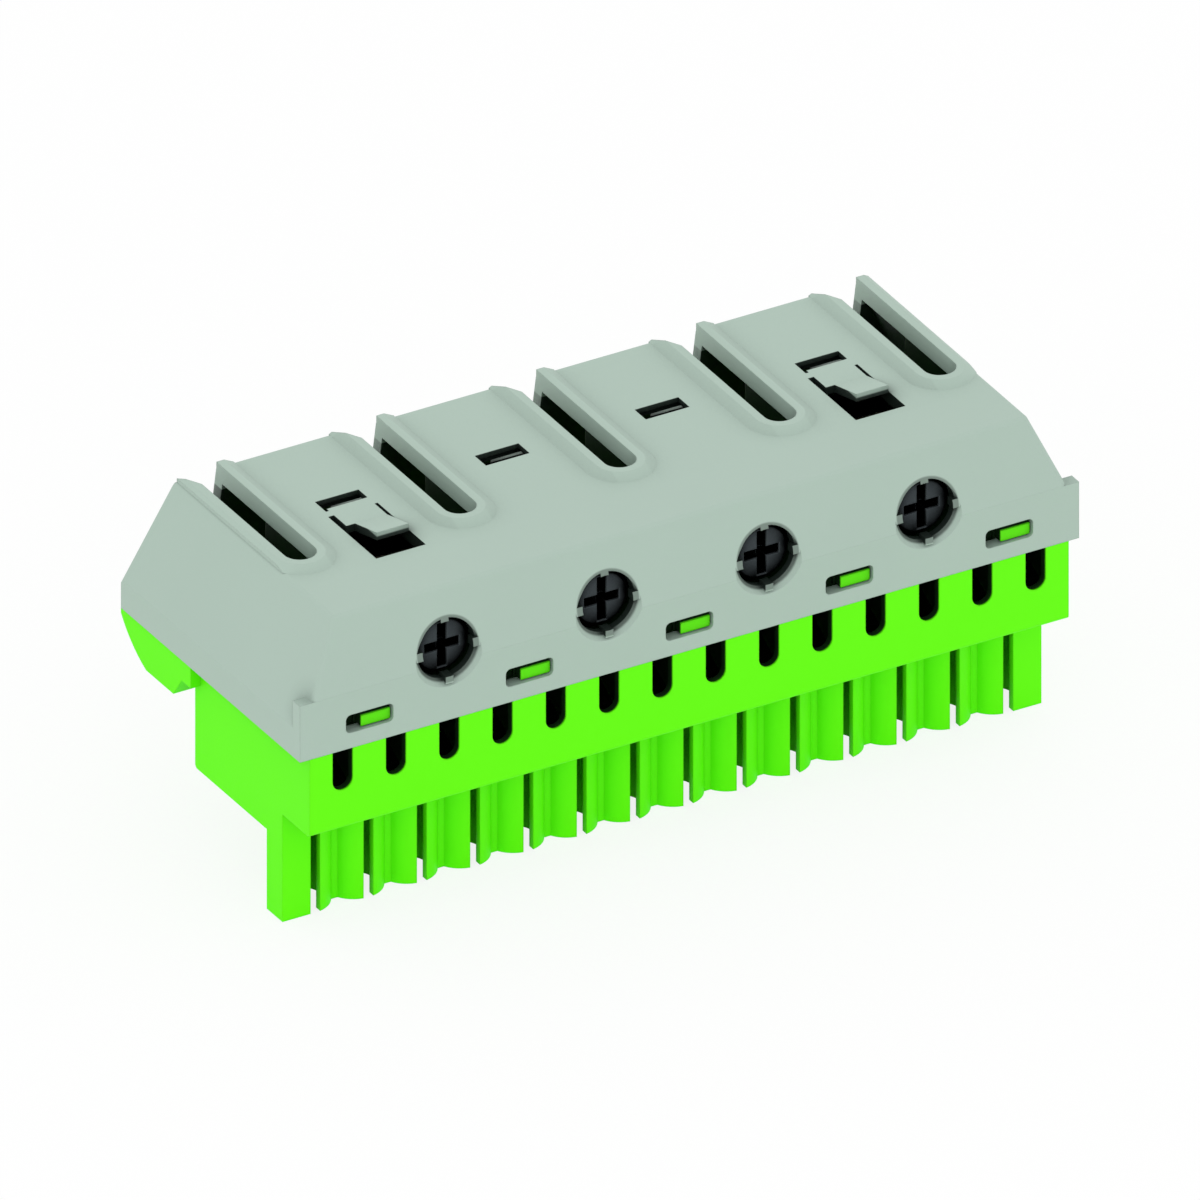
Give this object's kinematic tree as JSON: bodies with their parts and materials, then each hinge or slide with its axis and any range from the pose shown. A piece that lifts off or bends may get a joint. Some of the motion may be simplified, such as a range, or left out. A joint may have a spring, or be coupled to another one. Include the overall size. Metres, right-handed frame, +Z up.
{
  "type": "earth connector",
  "caption": "Protective-earth terminal block: grey clip-fit cover over a green base with front-worked screw clamps and a row of slit push-in wire tubes.",
  "frame": {"origin": "middle of the base of the overall box, at the foot of the wire tubes", "axes": "+X along the row of terminals, -Y the front with the screws, +Z up through the roof"},
  "size_m": [0.0804, 0.032, 0.0332],
  "materials": {
    "grey_moulding": "fine matt moulded polyamide",
    "green_moulding": "bright green moulded polyamide",
    "brass_bar": "stamped, bright",
    "black_steel": "black zinc plated",
    "plated_steel": "zinc plated",
    "spring_steel": "rolled spring strip"
  },
  "bodies": {
    "housing": {"cover": "grey_moulding", "terminal_base": "green_moulding", "busbar": "brass_bar", "push_in_spring_01": "spring_steel", "push_in_spring_02": "spring_steel", "push_in_spring_03": "spring_steel", "push_in_spring_04": "spring_steel", "push_in_spring_05": "spring_steel", "push_in_spring_06": "spring_steel", "push_in_spring_07": "spring_steel", "push_in_spring_08": "spring_steel", "push_in_spring_09": "spring_steel", "push_in_spring_10": "spring_steel", "push_in_spring_11": "spring_steel", "push_in_spring_12": "spring_steel", "push_in_spring_13": "spring_steel", "push_in_spring_14": "spring_steel"},
    "screw_1": {"clamp_screw_1": "black_steel"},
    "cage_1": {"clamp_cage_1": "plated_steel"},
    "screw_2": {"clamp_screw_2": "black_steel"},
    "cage_2": {"clamp_cage_2": "plated_steel"},
    "screw_3": {"clamp_screw_3": "black_steel"},
    "cage_3": {"clamp_cage_3": "plated_steel"},
    "screw_4": {"clamp_screw_4": "black_steel"},
    "cage_4": {"clamp_cage_4": "plated_steel"}
  },
  "joints": [
    {"name": "clamp_screw_turn_1", "type": "hinge", "parent": "housing", "child": "screw_1", "pos_m": [-0.02475, -0.0146, 0.02625], "axis": [0, 1, 0], "range_deg": [0, 1350.5]},
    {"name": "clamp_cage_slide_1", "type": "slide", "parent": "housing", "child": "cage_1", "axis": [0, -1, 0], "range_m": [0, 0.003]},
    {"name": "clamp_screw_turn_2", "type": "hinge", "parent": "housing", "child": "screw_2", "pos_m": [-0.00825, -0.0146, 0.02625], "axis": [0, 1, 0], "range_deg": [0, 1350.5]},
    {"name": "clamp_cage_slide_2", "type": "slide", "parent": "housing", "child": "cage_2", "axis": [0, -1, 0], "range_m": [0, 0.003]},
    {"name": "clamp_screw_turn_3", "type": "hinge", "parent": "housing", "child": "screw_3", "pos_m": [0.00825, -0.0146, 0.02625], "axis": [0, 1, 0], "range_deg": [0, 1350.5]},
    {"name": "clamp_cage_slide_3", "type": "slide", "parent": "housing", "child": "cage_3", "axis": [0, -1, 0], "range_m": [0, 0.003]},
    {"name": "clamp_screw_turn_4", "type": "hinge", "parent": "housing", "child": "screw_4", "pos_m": [0.02475, -0.0146, 0.02625], "axis": [0, 1, 0], "range_deg": [0, 1350.5]},
    {"name": "clamp_cage_slide_4", "type": "slide", "parent": "housing", "child": "cage_4", "axis": [0, -1, 0], "range_m": [0, 0.003]}
  ],
  "couplings": [
    {"joint": "clamp_screw_turn_1", "follows": "clamp_cage_slide_1", "rad_per_m": 7854},
    {"joint": "clamp_screw_turn_2", "follows": "clamp_cage_slide_2", "rad_per_m": 7854},
    {"joint": "clamp_screw_turn_3", "follows": "clamp_cage_slide_3", "rad_per_m": 7854},
    {"joint": "clamp_screw_turn_4", "follows": "clamp_cage_slide_4", "rad_per_m": 7854}
  ]
}
